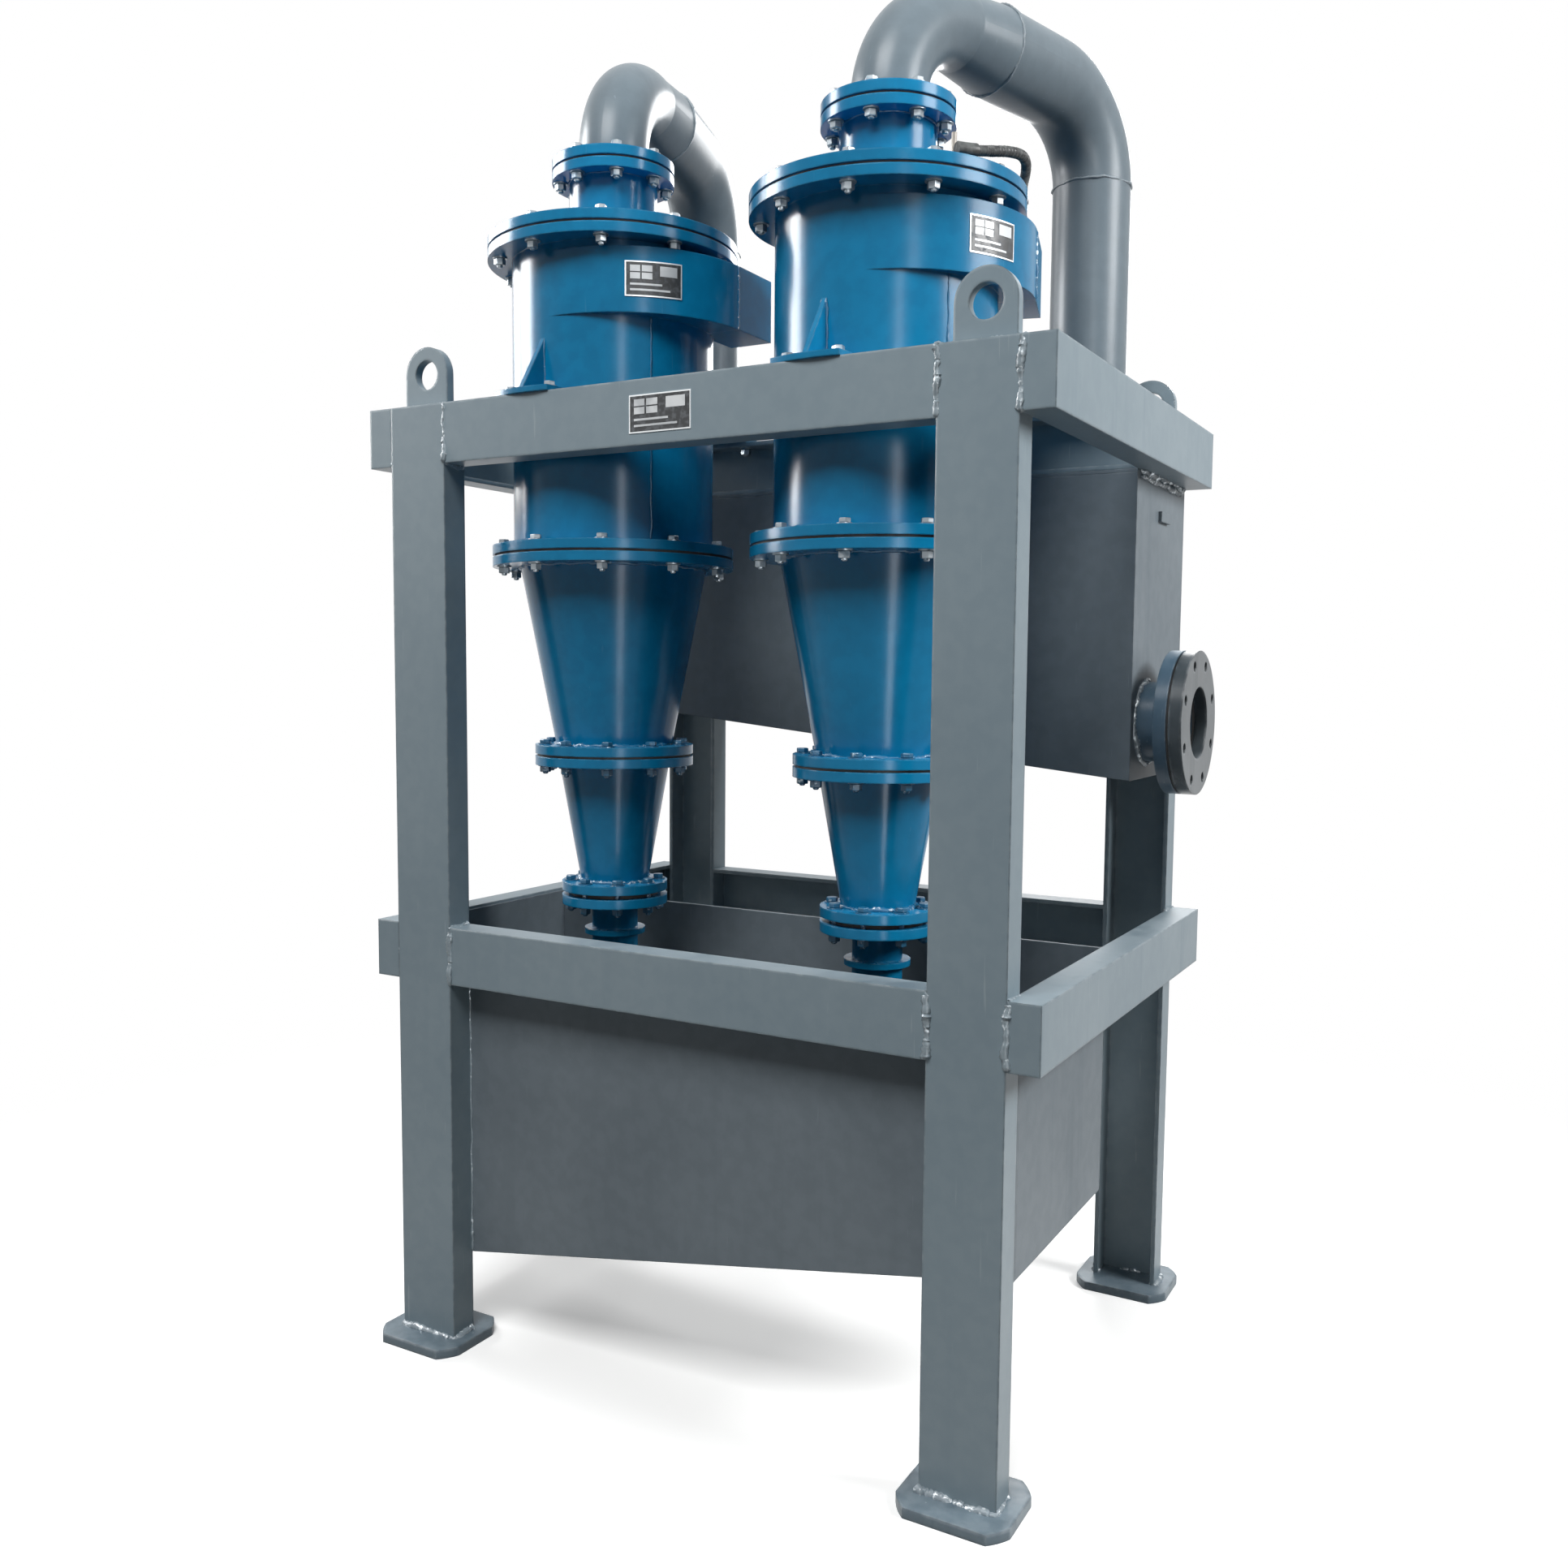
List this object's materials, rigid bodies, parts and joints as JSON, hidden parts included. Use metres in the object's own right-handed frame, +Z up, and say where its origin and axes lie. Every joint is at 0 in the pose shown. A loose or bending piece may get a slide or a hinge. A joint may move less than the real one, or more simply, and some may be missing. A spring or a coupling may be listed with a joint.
{
  "type": "twin hydrocyclone set",
  "caption": "Steel stand with blue cone-shaped hydrocyclones, overflow pipes arching to a closed box at the back and an open underflow tank below, for sorting slurry by particle size.",
  "frame": {"origin": "on the floor, under the middle of the overall box", "axes": "+X to the right along the front, +Y to the back, +Z up"},
  "size_m": [1.283, 1, 2.304],
  "materials": {
    "stand_paint": "satin grey enamel over welded steel channel",
    "plate_paint": "satin grey enamel over steel plate",
    "cyclone_paint": "gloss blue enamel",
    "pipe_paint": "satin grey enamel over steel pipe",
    "gasket": "matt black",
    "hose": "ribbed matt dark grey",
    "bright_steel": "zinc plated"
  },
  "bodies": {
    "root": {"front_legs": "stand_paint", "back_legs": "stand_paint", "foot_plates": "stand_paint", "upper_front_beam": "stand_paint", "upper_cross_beam": "stand_paint", "upper_back_beam": "stand_paint", "upper_side_beams": "stand_paint", "lower_front_beam": "stand_paint", "lower_back_beam": "stand_paint", "lower_side_beams": "stand_paint", "lifting_lugs": "stand_paint", "box_pads": "stand_paint", "tank_front": "plate_paint", "tank_back": "plate_paint", "tank_ends": "plate_paint", "tank_floor": "plate_paint", "box_front": "plate_paint", "box_back": "plate_paint", "box_left": "plate_paint", "box_right": "plate_paint", "box_top_plate": "plate_paint", "box_floor": "plate_paint", "outlet_nozzle": "plate_paint", "outlet_ring": "plate_paint", "left_lid": "cyclone_paint", "left_head": "cyclone_paint", "left_inlet": "cyclone_paint", "left_upper_cone": "cyclone_paint", "left_lower_cone": "cyclone_paint", "left_spigot": "cyclone_paint", "right_lid": "cyclone_paint", "right_head": "cyclone_paint", "right_inlet": "cyclone_paint", "right_upper_cone": "cyclone_paint", "right_lower_cone": "cyclone_paint", "right_spigot": "cyclone_paint", "left_neck_elbow": "pipe_paint", "left_drop_elbow": "pipe_paint", "left_drop_pipe": "pipe_paint", "right_neck_elbow": "pipe_paint", "right_drop_elbow": "pipe_paint", "right_drop_pipe": "pipe_paint", "flange_gaskets": "gasket", "lid_hose": "hose", "lid_rod": "bright_steel"}
  },
  "joints": []
}
